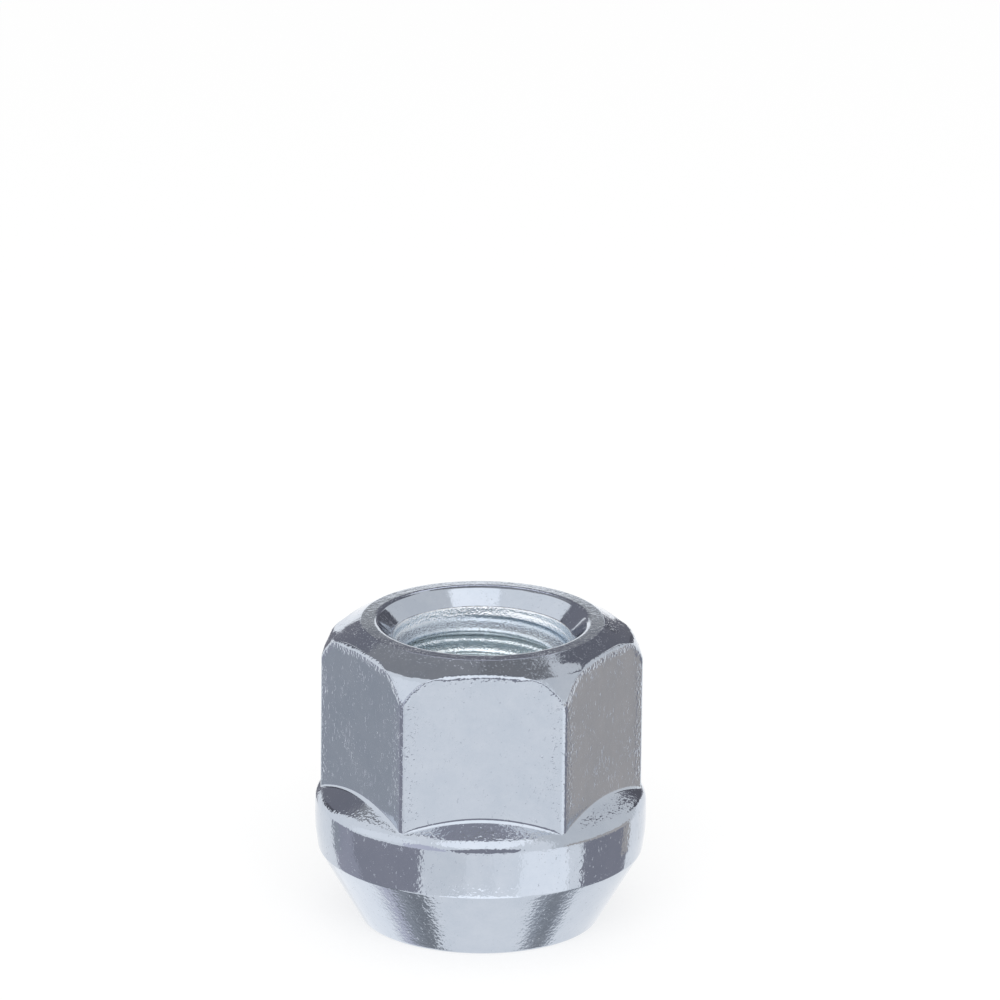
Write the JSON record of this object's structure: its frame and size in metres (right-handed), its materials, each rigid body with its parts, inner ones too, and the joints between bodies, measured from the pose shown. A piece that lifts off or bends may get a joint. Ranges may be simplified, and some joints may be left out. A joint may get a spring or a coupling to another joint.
{
  "type": "lug nut",
  "caption": "Open-ended bulge lug nut: a wrench hexagon with a turned crown above a round bulge and a conical seat, threaded right through.",
  "frame": {"origin": "centre of the small end of the seat cone, on the plane the nut stands on", "axes": "+Z along the thread axis from the seat end to the wrench end; -Y is square to one flat of the hexagon"},
  "size_m": [0.0224, 0.0224, 0.0211],
  "materials": {
    "zinc_plated_steel": "bright zinc plating, smooth with fine handling scratches"
  },
  "bodies": {
    "root": {"lug_nut": "zinc_plated_steel"}
  },
  "joints": []
}
